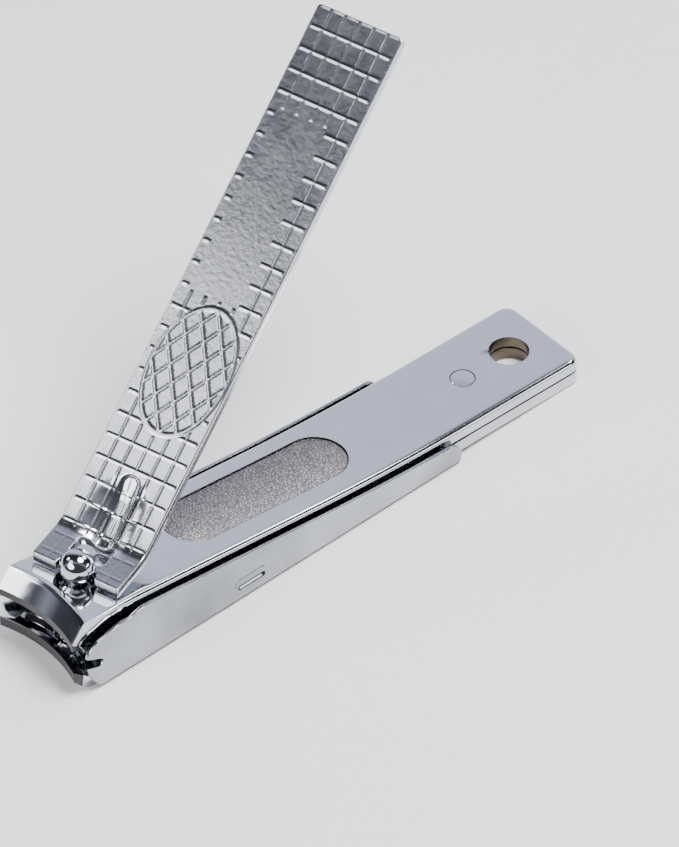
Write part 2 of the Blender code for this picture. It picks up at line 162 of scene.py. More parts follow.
GROOVE_SHALLOWS = 0.55       # share of its depth that the groove loses by its end
HOLLOW_RADIUS = 3.9          # wide soft hollow round the groove
HOLLOW_DEPTH = 0.85

# Embossing on the lever
CELL_ALONG = 3.0
CELL_ACROSS = 2.1
LINE_WIDTH = 0.33
LINE_HEIGHT = 0.058
COLUMN_HEIGHT = 0.85         # share of the cross lines' height and width that columns have
COLUMN_WIDTH = 0.9
LINE_MARGIN = 0.3            # smooth border beside the grid
FORK_FAINT = 0.25            # share of the lines' height on the fork
DISH_DEPTH = 0.05            # hollow in each cell of the grid next to the bend
DISH_TO = 22.0
PANEL_FROM_END = (14.0, 39.5)
PANEL_SIDE = (-2.6, 5.0)     # across, between these the grid is left plain
MEDALLION_FROM_END = 49.0
MEDALLION_SIDE = -0.4        # middle of the medallion, across
MEDALLION_SIZE = (8.8, 5.6)  # half length along and half width across
MEDALLION_RING = 0.97        # the rim's middle and outer edge, as shares of that size
MEDALLION_REACH = 1.04
LATTICE_SLANT = (0.55, 0.835)
LATTICE_STEP = 2.3
LATTICE_WIDTH = 0.4

# Catcher
SHEET = 0.5
CATCHER_HALF = 8.25
CATCHER_REAR = 21.4
CATCHER_DROP = 0.85
FLOOR_FRONT = 74.0
FOLD_RADIUS = 0.9
SHEET_ROUND = 0.1
REAR_PLATE_CORNER = 1.8
CATCHER_STEP = 1.2           # widths of the strips along the sheet, at a fold and at a dent
FOLD_STEP = 0.14
FOLD_REACH = 1.42            # width of the strips at a fold, just past its bend
DENT_STEP = 0.12
NOSE_END = 82.5
FLOOR_INSET = 1.4            # of the floor's front corners from the plates' feet
DENT_STATION = 56.3
DENT_HEIGHT = 2.75
DENT_SIZE = (2.7, 0.95)      # half length and half height
DENT_DEPTH = 0.42
DENT_WALL = (0.3, 0.9)       # where its wall starts and how wide it is, as shares of its size
DENT_REACH = (3.2, 1.2)      # half length and half height of the fine strips round it

# Camera: far off with a long lens, so that there is hardly any perspective
CAMERA_AZIMUTH = -39.85
CAMERA_ELEVATION = 43.3
CAMERA_ROLL = -2.1
CAMERA_TARGET = (13.4, 0.0, 9.35)
VIEW_HEIGHT = 105.9
LENS = 800.0
SENSOR = 36.0

# Room: brightness by how far a direction turns towards the bright side, 0 away and 1 to it
BRIGHT_SIDE = (0.77, 0.60, 0.20)
ROOM = ((0.0, 0.04), (0.33, 0.05), (0.39, 0.24), (0.46, 0.05), (0.62, 0.02), (0.80, 0.02),
        (0.875, 0.27), (0.93, 0.64), (1.0, 0.70))
ROOM_TINT = (1.0, 1.05, 1.3)
ROOM_STRENGTH = 1.7
FLOOR_SIZE = 3.0             # metres
FLOOR_GAP = 0.00003          # metres, keeps the floor just clear of the catcher's underside

# Soft lights: name, azimuth, elevation, distance, size and radiance; metres and degrees
LIGHTS = (
    ("top_light", 35.0, 70.0, 0.55, (0.32, 0.32), 22.0),
    ("hollow_light", -147.92, 37.65, 0.45, (0.12, 0.12), 6.0),
    ("left_light", -90.0, 30.0, 0.40, (0.20, 0.30), 6.0),
    ("edge_light", 80.0, 45.0, 0.50, (0.14, 0.20), 9.0),
    ("near_light", 35.0, 18.0, 0.50, (0.10, 0.22), 5.0),
)

# One more light, for the lower half of the lever's face to mirror
LEVER_LIGHT_TARGET = (-51.88, -5.872, 0.704)
LEVER_MIRROR = (-0.506, 0.27, 0.818)
UP_LEVER = (0.84, 0.246, 0.478)
LEVER_LIGHT_DISTANCE = 0.32
LEVER_LIGHT_SIZE = (0.13, 0.14)
LEVER_LIGHT_RADIANCE = 2.8


def smoothstep(value):
    t = min(max(value, 0.0), 1.0)
    return t * t * (3.0 - 2.0 * t)


def upper_top(station):
    """Height of the upper arm's top face: straight, an arc, then straight."""
    height = REAR_TOP + REAR_SLOPE * station
    rise = UPPER_SLOPE - REAR_SLOPE
    bend = UPPER_STRAIGHT - REAR_FLAT
    if station > REAR_FLAT:
        along = min(station, UPPER_STRAIGHT) - REAR_FLAT
        height += rise * along * along / (2.0 * bend)
    if station > UPPER_STRAIGHT:
        height += rise * (station - UPPER_STRAIGHT)
    return height


def lower_base(station):
    """Height of the lower arm's underside: it climbs, then runs level."""
    start = LOWER_LEVEL - LOWER_BEND
    height = LOWER_REAR + REAR_SLOPE * min(station, start)
    if station > start:
        along = min(station, LOWER_LEVEL) - start
        height += REAR_SLOPE * (along - along * along / (2.0 * LOWER_BEND))
    return height


def spread(start, end, step):
    """Evenly spaced values from start to end, about a step apart."""
    count = max(1, round((end - start) / step))
    return [start + (end - start) * k / count for k in range(count + 1)]


def mesh_object(name, bm):
    """Object in the scene made from a bmesh, which is used up."""
    mesh = bpy.data.meshes.new(name)
    bm.to_mesh(mesh)
    bm.free()
    item = bpy.data.objects.new(name, mesh)
    bpy.context.collection.objects.link(item)
    return item


def prism_object(name, outline, low, high):
    bm = bmesh.new()
    bottom = [bm.verts.new((x, y, low)) for x, y in outline]
    top = [bm.verts.new((x, y, high)) for x, y in outline]
    bm.faces.new(list(reversed(bottom)))
    bm.faces.new(top)
    for k in range(len(outline)):
        n = (k + 1) % len(outline)
        bm.faces.new((bottom[k], bottom[n], top[n], top[k]))
    bmesh.ops.recalc_face_normals(bm, faces=bm.faces)
    return mesh_object(name, bm)


def cut_and_rounded(body, cutters, rounding, segments):
    """Bmesh of a body with cutters taken out and its edges rounded; uses them all up."""
    for cutter in cutters:
        modifier = body.modifiers.new(cutter.name, "BOOLEAN")
        modifier.object = cutter
        modifier.operation = "DIFFERENCE"
        modifier.solver = "EXACT"
    bevel = body.modifiers.new("rounding", "BEVEL")
    bevel.width = rounding
    bevel.segments = segments
    bevel.limit_method = "ANGLE"
    bevel.angle_limit = math.radians(BEVEL_ANGLE)
    graph = bpy.context.evaluated_depsgraph_get()
    mesh = bpy.data.meshes.new_from_object(body.evaluated_get(graph))
    for item in [body, *cutters]:
        bpy.data.objects.remove(item, do_unlink=True)
    bm = bmesh.new()
    bm.from_mesh(mesh)
    bpy.data.meshes.remove(mesh)
    return bm


def flat_piece(outline, thick, holes=(), rounding=EDGE_ROUND, segments=3):
    """Flat sheet with holes cut through it and every edge rounded.

    Each hole is (outline, low, high); one that stops inside the sheet makes a recess.
    """
    body = prism_object("flat", outline, 0.0, thick)
    cutters = [prism_object(f"flat_cut_{number}", *hole) for number, hole in enumerate(holes)]
    return cut_and_rounded(body, cutters, rounding, segments)


def through(shape):
    """Hole with this outline right through any of the sheets."""
    return (shape, -1.0, ARM_THICK + 1.0)


def slice_flat(bm, axis, places, above=None):
    """Cut a flat piece along planes, so that it can bend there.

    With above, only the faces that lie wholly over that height are cut.
    """
    faces = bm.faces[:]
    if above is not None:
        faces = [face for face in faces if all(vert.co.z > above for vert in face.verts)]
    edges = {edge for face in faces for edge in face.edges}
    verts = {vert for face in faces for vert in face.verts}
    geometry = [*verts, *edges, *faces]
    normal = Vector([1.0 if k == axis else 0.0 for k in range(3)])
    for place in places:
        cut = bmesh.ops.bisect_plane(bm, geom=geometry, dist=1e-5, plane_co=normal * place,
                                     plane_no=normal)
        geometry = cut["geom"]


def fold(bm, place):
    """Move every vertex from its flat place to its real one."""
    for vert in bm.verts:
        vert.co = place(vert.co)


def finish_piece(name, bm, materials, body, replaced, smooth=35.0):
    """Turn a bmesh in millimetres into a smooth piece that stands for CAD nodes.

    It rides on a body, unless that is None, when it is attached to none.
    """
    bmesh.ops.scale(bm, vec=(MM, MM, MM), verts=bm.verts)
    bmesh.ops.triangulate(bm, faces=[f for f in bm.faces if len(f.verts) > 4])
    bmesh.ops.recalc_face_normals(bm, faces=bm.faces)
    item = mesh_object(name, bm)
    item.data.shade_smooth()
    item.data.set_sharp_from_angle(angle=math.radians(smooth))
    for material in materials:
        item.data.materials.append(material)
    if body:
        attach(item, body)
    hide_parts(*replaced)
    return item


def circle(centre, radius, steps=48):
    angles = [2.0 * math.pi * k / steps for k in range(steps)]
    return [(centre[0] + radius * math.cos(a), centre[1] + radius * math.sin(a))
            for a in angles]


def rounded_box(xs, ys, radii, steps=6):
    """Rectangle outline; radii are for the (x1,y0), (x1,y1), (x0,y1), (x0,y0) corners."""
    points = []
    corners = [(xs[1], ys[0], -90), (xs[1], ys[1], 0), (xs[0], ys[1], 90), (xs[0], ys[0], 180)]
    for (x, y, start), radius in zip(corners, radii):
        cx = x - math.copysign(radius, x - sum(xs) / 2.0)
        cy = y - math.copysign(radius, y - sum(ys) / 2.0)
        for k in range(steps + 1):
            angle = math.radians(start + 90.0 * k / steps)
            points.append((cx + radius * math.cos(angle), cy + radius * math.sin(angle)))
    return points


def stadium(centre, length, width, steps=16):
    radius = width / 2.0
    points = []
    for side in (1, -1):
        for k in range(steps + 1):
            angle = math.pi * (k / steps - 0.5)
            x = side * (length / 2.0 - radius + radius * math.cos(angle))
            points.append((centre[0] + x, centre[1] + side * radius * math.sin(angle)))
    return points


# Arms -------------------------------------------------------------------------

def setback(y):
    """How far the concave jaw lies behind its corners, at a width y."""
    edge = math.sqrt(JAW_RADIUS ** 2 - (ARM_WIDTH / 2.0) ** 2)
    return math.sqrt(max(JAW_RADIUS ** 2 - y * y, 0.0)) - edge


def edge_distance(x, y):
    """Distance from a flat arm's outline, sides and round rear corners, to a point in it."""
    side = ARM_WIDTH / 2.0 - abs(y)
    if x < REAR_CORNER and side < REAR_CORNER:
        return REAR_CORNER - math.hypot(REAR_CORNER - x, REAR_CORNER - side)
    return min(x, side)


def crown_drop(point):
    """How far the rolled-over edge lies below the arm's flat top, at a flat point."""
    inset = EDGE_CROWN - min(max(edge_distance(point.x, point.y), 0.0), EDGE_CROWN)
    drop = EDGE_CROWN - math.sqrt(EDGE_CROWN ** 2 - inset ** 2)
    return drop * (1.0 - smoothstep((point.x - (JAW_TIP - CROWN_TO)) / FADE_LENGTH))


def arm_placer(height, rows, thick_start, crowned):
    """Placer for a flat arm whose jaw end follows rows of (upper, lower) points."""
    first = JAW_TIP - JAW_LENGTH

    def row_point(station, side):
        """Point of one face at a flat station, as (station, offset)."""
        if station <= first:
            return (station, thick_start[side])
        share = (station - first) / (JAW_TIP - first) * (len(rows) - 1)
        k = min(int(share), len(rows) - 2)
        t = share - k
        a, b = rows[k][side], rows[k + 1][side]
        return (a[0] + (b[0] - a[0]) * t, a[1] + (b[1] - a[1]) * t)

    def place(point):
        share = point.z / ARM_THICK
        if crowned:
            share *= 1.0 - crown_drop(point) / ARM_THICK
        upper, lower = row_point(point.x, 0), row_point(point.x, 1)
        station = lower[0] + (upper[0] - lower[0]) * share
        offset = lower[1] + (upper[1] - lower[1]) * share
        fade = smoothstep((station - (JAW_TIP - SETBACK_FROM)) / FADE_LENGTH)
        moved = station - fade * setback(point.y)
        return Vector((REAR_X - moved, point.y, height(moved) + offset))

    return place


def upper_rows():
    """Cross-section of the upper jaw: (station, offset) on its upper and lower face."""
    tip = JAW_TIP
    edge = UPPER_EDGE - upper_top(tip)
    return [
        ((tip - JAW_LENGTH, 0.0), (tip - JAW_LENGTH, -ARM_THICK)),
        ((tip - 6.05, 0.0), (tip - 6.95, -1.7)),
        ((tip - 4.05, 0.0), (tip - 5.35, -2.3)),
        ((tip - 2.65, 0.03), (tip - 4.05, -2.45)),
        ((tip - 2.1, -0.02), (tip - 3.15, -2.55)),
        ((tip - 1.75, -0.35), (tip - 2.45, -2.85)),
        ((tip, edge + 1.2), (tip - 1.15, edge + 0.43)),
        ((tip, edge + 0.08), (tip - 0.08, edge)),
    ]


def lower_rows():
    """Cross-section of the lower jaw: (station, offset) on its upper and lower face."""
    tip = JAW_TIP
    edge = LOWER_EDGE - lower_base(tip)
    return [
        ((tip - JAW_LENGTH, ARM_THICK), (tip - JAW_LENGTH, 0.0)),
        ((tip - 5.05, 1.55), (tip - 5.45, 0.0)),
        ((tip - 3.85, 1.35), (tip - 3.85, -0.45)),
        ((tip - 3.05, 1.05), (tip - 2.85, -0.75)),
        ((tip - 2.45, 1.1), (tip - 2.25, -0.7)),
        ((tip - 1.65, 1.7), (tip - 1.45, -0.1)),
        ((tip - 0.85, 2.4), (tip, edge - 1.5)),
        ((tip - 0.08, edge), (tip, edge - 0.08)),
    ]


def arm_outline():
    half = ARM_WIDTH / 2.0
    return rounded_box((0.0, JAW_TIP), (-half, half), (0.02, 0.02, REAR_CORNER, REAR_CORNER))


def paint_bore(bm, centre, radius):
    """Give the wall of a hole the second material."""
    for face in bm.faces:
        middle = face.calc_center_median()
        away = math.hypot(middle.x - centre[0], middle.y - centre[1])
        if away < radius + 0.01:
            face.material_index = 1


def paint_lip_shade(bm, length):
    """Give the front of a jaw the third material, a near-black chrome that is painted shade."""
    for face in bm.faces:
        if face.calc_center_median().x > JAW_TIP - length:
            face.material_index = 2


def slice_arm(bm):
    """Cut a flat arm into strips, narrow at the jaw and along the rolled-over edges."""
    jaw = JAW_TIP - JAW_LENGTH
    inner = ARM_WIDTH / 2.0 - 2.0 * ACROSS_STEP
    slice_flat(bm, 0, spread(2.0, jaw - 1.0, ARM_STEP) + spread(jaw, JAW_TIP - 0.1, JAW_STEP))
    slice_flat(bm, 1, spread(-inner, inner, ACROSS_STEP))
    edge = [EDGE_CROWN * (1.0 - math.cos(math.radians(d))) for d in range(12, 91, 13)]
    slice_flat(bm, 0, edge + spread(EDGE_CROWN + 0.2, REAR_CORNER, 0.2))
    for side in (-1.0, 1.0):
        slice_flat(bm, 1, [side * (ARM_WIDTH / 2.0 - inset) for inset in edge])


def upper_arm(materials):
    """One continuous spring arm, which bends where the CAD has its flexure hinge."""
    recess = stadium((FILE_STATION, FILE_SIDEWAYS), FILE_LENGTH + 2.0 * FILE_GAP,
                     FILE_WIDTH + 2.0 * FILE_GAP)
    holes = [
        through(circle((PIN_STATION, 0.0), UPPER_PIN_HOLE)),
        through(circle((KEYRING_STATION, 0.0), KEYRING_RADIUS)),
        through(circle((RIVET_STATION, 0.0), RIVET_RADIUS + RIVET_GAP)),
        (recess, ARM_THICK - FILE_RECESS, ARM_THICK + 1.0),
    ]
    bm = flat_piece(arm_outline(), ARM_THICK, holes)
    paint_bore(bm, (KEYRING_STATION, 0.0), KEYRING_RADIUS)
    slice_arm(bm)
    paint_lip_shade(bm, UPPER_PAINTED_SHADE)
    fold(bm, arm_placer(upper_top, upper_rows(), (0.0, -ARM_THICK), True))
    arm = finish_piece("upper_arm_strip", bm, materials, None,
                       ("upper_arm", "upper_arm_tail"))
    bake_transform(arm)


def lower_arm(materials):
    """Lower arm with its jaw, and a recess under it for the pin's flange."""
    pin_spot = (PIN_STATION + PIN_LEAN, 0.0)
    flange_spot = (PIN_STATION + FLANGE_LEAN, 0.0)
    holes = [
        through(circle(pin_spot, LOWER_PIN_HOLE + LOWER_PIN_GAP)),
        through(circle((KEYRING_STATION, 0.0), KEYRING_RADIUS)),
        through(circle((RIVET_STATION, 0.0), RIVET_RADIUS + RIVET_GAP)),
        (circle(flange_spot, FLANGE_RADIUS + FLANGE_GAP), -1.0, FLANGE_RECESS),
    ]
    bm = flat_piece(arm_outline(), ARM_THICK, holes)
    paint_bore(bm, (KEYRING_STATION, 0.0), KEYRING_RADIUS)
    slice_arm(bm)
    paint_lip_shade(bm, LOWER_PAINTED_SHADE)
    fold(bm, arm_placer(lower_base, lower_rows(), (ARM_THICK, 0.0), False))
    finish_piece("lower_arm_strip", bm, materials, "lower_body",
                 ("lower_arm",))


# Turned pieces ----------------------------------------------------------------

def turned(profile, segments=96):
    """Solid of revolution round Z from (radius, height) points, bottom to top."""
    bm = bmesh.new()
    rings = []
    for radius, height in profile:
        angles = [2.0 * math.pi * k / segments for k in range(segments)]
        rings.append([bm.verts.new((radius * math.cos(a), radius * math.sin(a), height))
                      for a in angles])
    for lower, upper in zip(rings, rings[1:]):
        for k in range(segments):
            n = (k + 1) % segments
            bm.faces.new((lower[k], lower[n], upper[n], upper[k]))
    bm.faces.new(list(reversed(rings[0])))
    bm.faces.new(rings[-1])
    bmesh.ops.recalc_face_normals(bm, faces=bm.faces)
    return bm


def arm_frame(station, slope):
    spot = Vector((REAR_X - station, 0.0, upper_top(station)))
    return Matrix.Translation(spot) @ Matrix.Rotation(math.atan(slope), 4, "Y")


def lever_frame():
    """Origin where the pin's axis meets the arm's top; +X runs up the handle."""
    turn = Matrix.Rotation(math.radians(SWIVEL), 4, "Z")
    return arm_frame(PIN_STATION, UPPER_SLOPE) @ turn


def pin(material):
    """Pin with a flange, a notched neck and a ball head."""
    radius = PIN_HEAD_RADIUS
    under = [math.radians(d) for d in range(-PIN_UNDER, 1, 6)]
    over = [math.radians(d) for d in range(2, 89, 5)]
    low_middle = radius * math.sin(math.radians(PIN_UNDER)) + BALL_FOOT
    high_middle = PIN_HEIGHT - radius
    profile = [
        (FLANGE_RADIUS - 0.15, FLANGE_TOP - FLANGE_THICK),
        (FLANGE_RADIUS, FLANGE_TOP - 0.25),
        (FLANGE_RADIUS, FLANGE_TOP),
        (SHANK_RADIUS, FLANGE_TOP + 0.02),
        (SHANK_RADIUS, SHANK_TOP),
        (PIN_RADIUS, SHANK_TOP + 0.4),
        (PIN_RADIUS, -0.9),
        (PIN_NECK_RADIUS, -0.5),
        (PIN_NECK_RADIUS, 0.2),
        *[(radius * math.cos(a), low_middle + radius * math.sin(a)) for a in under],
        *[(radius * math.cos(a), high_middle + radius * math.sin(a)) for a in over],
    ]
    body = mesh_object("pin_solid", turned(profile))
    side = 4.0
    notch = prism_object("pin_notch", [(PIN_NOTCH_DEPTH, -side), (side, -side), (side, side),
                                       (PIN_NOTCH_DEPTH, side)], *PIN_NOTCH)
    bm = cut_and_rounded(body, [notch], PIN_ROUND, 2)
    bmesh.ops.transform(bm, matrix=lever_frame(), verts=bm.verts)
    finish_piece("pivot_pin_turned", bm, [material], "pin", ("pivot_pin",))


def rivet(material):
    """Flush rivet, its heads very slightly crowned."""
    low = -2.0 * ARM_THICK - ARM_GAP
    radius = RIVET_RADIUS
    bm = turned([
        (0.5, low - 0.04), (radius - 0.1, low + 0.02), (radius, low + 0.1),
        (radius, -0.1), (radius - 0.1, -0.02), (0.5, 0.04),
    ], 64)
    bmesh.ops.transform(bm, matrix=arm_frame(RIVET_STATION, REAR_SLOPE), verts=bm.verts)
    finish_piece("rear_rivet_turned", bm, [material], "lower_body",
                 ("rear_rivet",))


def nail_file(material):
    """Etched plate with a rounded rim, lying in the arm's recess."""
    sink = FILE_LIFT - FILE_RECESS
    outline = stadium((FILE_STATION, FILE_SIDEWAYS), FILE_LENGTH, FILE_WIDTH)
    bm = flat_piece(outline, FILE_THICK, rounding=0.07, segments=2)
    reach = FILE_LENGTH / 2.0 - 1.0
    slice_flat(bm, 0, spread(FILE_STATION - reach, FILE_STATION + reach, ARM_STEP))
    fold(bm, lambda p: Vector((REAR_X - p.x, p.y, upper_top(p.x) + sink + p.z)))
    finish_piece("nail_file_plate", bm, [material], "upper_jaw",
                 ("nail_file",))


# Lever ------------------------------------------------------------------------

LEVER_FLAT = FORK_LENGTH + HANDLE_LENGTH + BEND_ALLOWANCE


def bend_angle(along):
    """Angle of the lever above the arm, at a distance along it from the fork's tip."""
    half = BEND_RADIUS * math.radians(HANDLE_ANGLE - FORK_ANGLE) / 2.0
    share = (along - (FORK_LENGTH - half)) / (2.0 * half)
    return FORK_ANGLE + (HANDLE_ANGLE - FORK_ANGLE) * min(max(share, 0.0), 1.0)


def lever_spine():
    """Underside of the lever, integrated from its angle: (point, angle) every step."""
    spine = [(Vector((FORK_TIP, FORK_CLEAR)), math.radians(FORK_ANGLE))]
    for k in range(int(LEVER_FLAT / SPINE_STEP) + 2):
        point, angle = spine[-1]
        moved = point + SPINE_STEP * Vector((math.cos(angle), math.sin(angle)))
        spine.append((moved, math.radians(bend_angle((k + 1) * SPINE_STEP))))
    return spine


def pressed_depth(along, across):
    """Depth of the pressed groove and of the soft hollow round it."""
    end = GROOVE_TO - FORK_TIP
    start = smoothstep((along - GROOVE_FROM[0]) / (GROOVE_FROM[1] - GROOVE_FROM[0]))
    past = max(along - (end - GROOVE_RADIUS), 0.0)
    inside = GROOVE_RADIUS - math.hypot(past, across)
    loss = GROOVE_SHALLOWS * smoothstep((along - FORK_LENGTH) / (end - FORK_LENGTH))
    groove = GROOVE_DEPTH * (1.0 - loss) * smoothstep(inside / GROOVE_WALL)
    beyond = max(along - (end - HOLLOW_RADIUS), 0.0)
    hollow = HOLLOW_DEPTH * (1.0 - smoothstep(math.hypot(beyond, across) / HOLLOW_RADIUS))
    return start * (groove + hollow)


def dish_depth(along, across):
    """Shallow hollow in each cell of the grid, which fades away up the handle."""
    share = (along - FORK_LENGTH) / (DISH_TO - FORK_LENGTH)
    if share <= 0.0 or share >= 1.0:
        return 0.0
    dish_along = abs(math.sin(math.pi * (LEVER_FLAT - along) / CELL_ALONG))
    dish_across = abs(math.sin(math.pi * across / CELL_ACROSS))
    return DISH_DEPTH * (1.0 - smoothstep(share)) * dish_along * dish_across


def line_profile(distance, width):
    """Height share of a raised line at a distance from its middle."""
    return 1.0 - smoothstep((abs(distance) - width * 0.25) / (width * 0.5))


def medallion(from_end, across):
    """Share of raised height in the oval medallion, or None outside it."""
    x = (from_end - MEDALLION_FROM_END) / MEDALLION_SIZE[0]
    y = (across - MEDALLION_SIDE) / MEDALLION_SIZE[1]
    out = math.hypot(x, y)
    if out > MEDALLION_REACH:
        return None
    ring = line_profile((out - MEDALLION_RING) * MEDALLION_SIZE[1], LATTICE_WIDTH)
    if out > MEDALLION_RING:
        return ring
    slants = [LATTICE_SLANT[0] * (from_end - MEDALLION_FROM_END)
              + sign * LATTICE_SLANT[1] * (across - MEDALLION_SIDE) for sign in (1.0, -1.0)]
    gaps = [slant - LATTICE_STEP * round(slant / LATTICE_STEP) for slant in slants]
    return max(ring, *[line_profile(gap, LATTICE_WIDTH) for gap in gaps])


def grid(from_end, across):
    """Share of raised height in the gripping grid, whose cross lines are the bolder."""
    near_along = from_end - CELL_ALONG * round(from_end / CELL_ALONG)
    near_column = across - CELL_ACROSS * round(across / CELL_ACROSS)
    height = max(line_profile(near_along, LINE_WIDTH),
                 COLUMN_HEIGHT * line_profile(near_column, COLUMN_WIDTH * LINE_WIDTH))
    return height * smoothstep((LEVER_WIDTH / 2.0 - LINE_MARGIN - abs(across)) / 0.2)


def emboss(along, across):
    """Raised height: a grid, a plain panel and an oval medallion with a straight lattice."""
    from_end = LEVER_FLAT - along
    oval = medallion(from_end, across)
    if oval is not None:
        return LINE_HEIGHT * oval
    panel_low, panel_high = PANEL_FROM_END
    if panel_low < from_end < panel_high and PANEL_SIDE[0] < across < PANEL_SIDE[1]:
        return 0.0
    past_fork = smoothstep((along - FORK_LENGTH + 0.6) / 0.6)
    share = FORK_FAINT + (1.0 - FORK_FAINT) * past_fork
    return LINE_HEIGHT * share * grid(from_end, across)


def flat_lever():
    """Flat sheet of the lever with its slot and window, cut into strips."""
    half = FORK_WIDTH / 2.0
    outline = rounded_box((0.0, LEVER_FLAT), (-half, half),
                          (LEVER_CORNER, LEVER_CORNER, FORK_CORNER, FORK_CORNER))
    slot, window = SLOT_WIDTH / 2.0, WINDOW_WIDTH / 2.0
    bar_from, bar_to = CROSSBAR[0] - FORK_TIP, CROSSBAR[1] - FORK_TIP
    holes = [
        through(rounded_box((-3.0, bar_from), (-slot, slot), (SLOT_CORNER, SLOT_CORNER, 0.1, 0.1))),
        through(rounded_box((bar_to, WINDOW_TO - FORK_TIP), (-window, window),
                            (WINDOW_CORNER,) * 4)),
    ]
    bm = flat_piece(outline, LEVER_THICK, holes, rounding=LEVER_ROUND)
    slice_flat(bm, 0, spread(0.4, GROOVE_TO + 1.0, LEVER_STEP))
    slice_flat(bm, 1, spread(-LEVER_MIDDLE, LEVER_MIDDLE, LEVER_STEP))
    top = LEVER_THICK - 0.01
    side = LEVER_WIDTH / 2.0 - 0.2
    slice_flat(bm, 0, spread(0.5, LEVER_FLAT - 0.4, EMBOSS_STEP), above=top)
    slice_flat(bm, 1, spread(-side, side, EMBOSS_STEP), above=top)
    return bm


def lever(material):
    """Stamped lever: fork, crossbar, window, pressed groove and embossed handle."""
    bm = flat_lever()
    spine = lever_spine()
    frame_matrix = lever_frame()

    def place(point):
        k = min(int(max(point.x, 0.0) / SPINE_STEP), len(spine) - 2)
        share = point.x / SPINE_STEP - k
        spot = spine[k][0].lerp(spine[k + 1][0], share)
        angle = spine[k][1] + (spine[k + 1][1] - spine[k][1]) * share
        height = point.z
        if height > LEVER_THICK - 0.02:
            height += emboss(point.x, point.y) - dish_depth(point.x, point.y)
        height -= pressed_depth(point.x, point.y)
        lift = Vector((-math.sin(angle), math.cos(angle))) * height
        across = point.y * lever_width(point.x) / FORK_WIDTH
        return frame_matrix @ Vector((spot.x + lift.x, across, spot.y + lift.y))

    fold(bm, place)
    finish_piece("lever_stamped", bm, [material], "handle", ("lever",),
                 smooth=50.0)


def lever_width(along):
    """Width of the lever, whose fork is very slightly wider than its handle."""
    return FORK_WIDTH + (LEVER_WIDTH - FORK_WIDTH) * smoothstep(along / FORK_LENGTH)


# Catcher ----------------------------------------------------------------------

def arc(centre, radius, start, end, steps):
    angles = [math.radians(start + (end - start) * k / steps) for k in range(steps + 1)]
    return [(centre[0] + radius * math.cos(a), centre[1] + radius * math.sin(a))
            for a in angles]


def plate_outline():
    """Side plate as (station, height) points, from the rear corner to the nose's foot."""
    corner = REAR_PLATE_CORNER
    top = upper_top(CATCHER_REAR + corner) - CATCHER_DROP
    outline = arc((CATCHER_REAR + corner, top - corner), corner, 180.0, 90.0, 8)
    outline += [(s, upper_top(s) - CATCHER_DROP) for s in spread(24.5, 73.8, 2.0)]
    outline += [(74.9, upper_top(74.9) - 1.15), (76.0, upper_top(76.0) - 1.65)]
    outline += [(78.1, 8.8), (80.1, 8.3), (81.4, 8.0), (82.3, 7.5), (82.9, 6.9), (83.2, 6.1)]
    outline += [(80.9, 4.95), (80.65, 4.75), (80.6, 4.5), (80.7, 4.2), (81.0, 3.95)]
    outline += [(81.25, 3.85), (83.15, 4.5), (82.9, 3.2), (82.2, 1.85), (81.2, 0.75)]
    return outline + [(79.6, 0.02)]


def unrolled(height):
    """Distance across the unrolled sheet, from the middle of the floor, of a height."""
    floor = CATCHER_HALF - FOLD_RADIUS
    bend = FOLD_RADIUS * math.pi / 2.0
    if height >= FOLD_RADIUS:
        return floor + bend + height - FOLD_RADIUS
    return floor + bend * math.acos(1.0 - height / FOLD_RADIUS) / (math.pi / 2.0)


def catcher_place(point):
    """Fold the sheet's outer face round the floor's edges; point.z goes inwards."""
    floor = CATCHER_HALF - FOLD_RADIUS
    bend = FOLD_RADIUS * math.pi / 2.0
    side = math.copysign(1.0, point.y)
    reach = abs(point.y) - floor
    if reach <= 0.0:
        return Vector((REAR_X - point.x, point.y, point.z))
    if reach <= bend:
        angle = reach / FOLD_RADIUS
        radius = FOLD_RADIUS - point.z
        y = floor + radius * math.sin(angle)
        return Vector((REAR_X - point.x, side * y, FOLD_RADIUS - radius * math.cos(angle)))
    height = FOLD_RADIUS + reach - bend
    long = max(abs(point.x - DENT_STATION) - DENT_SIZE[0] + DENT_SIZE[1], 0.0)
    far = math.hypot(long, height - DENT_HEIGHT) / DENT_SIZE[1]
    dent = DENT_DEPTH * (1.0 - smoothstep((far - DENT_WALL[0]) / DENT_WALL[1]))
    y = CATCHER_HALF - point.z - dent
    return Vector((REAR_X - point.x, side * y, height))


def catcher(material):
    """Thin sheet folded to a U, with a notched nose and a pressed dent in each side."""
    plate = [(s, unrolled(z)) for s, z in plate_outline()]
    floor_edge = plate[-1][1] - FLOOR_INSET
    outline = plate + [(FLOOR_FRONT, floor_edge), (FLOOR_FRONT, -floor_edge)]
    outline += [(s, -y) for s, y in reversed(plate)]
    bm = flat_piece(outline, SHEET, rounding=SHEET_ROUND, segments=2)
    long, high = DENT_REACH
    slice_flat(bm, 0, spread(CATCHER_REAR + 1.0, NOSE_END, CATCHER_STEP))
    slice_flat(bm, 0, spread(DENT_STATION - long, DENT_STATION + long, DENT_STEP))
    floor = CATCHER_HALF - FOLD_RADIUS
    middle = unrolled(DENT_HEIGHT)
    for side in (-1.0, 1.0):
        slice_flat(bm, 1, [side * y for y in spread(floor, floor + FOLD_REACH, FOLD_STEP)])
        slice_flat(bm, 1, [side * y for y in spread(middle - high, middle + high, DENT_STEP)])
    fold(bm, catcher_place)
    finish_piece("catcher_sheet", bm, [material], "lower_body",
                 ("clippings_catcher",))


# Materials --------------------------------------------------------------------

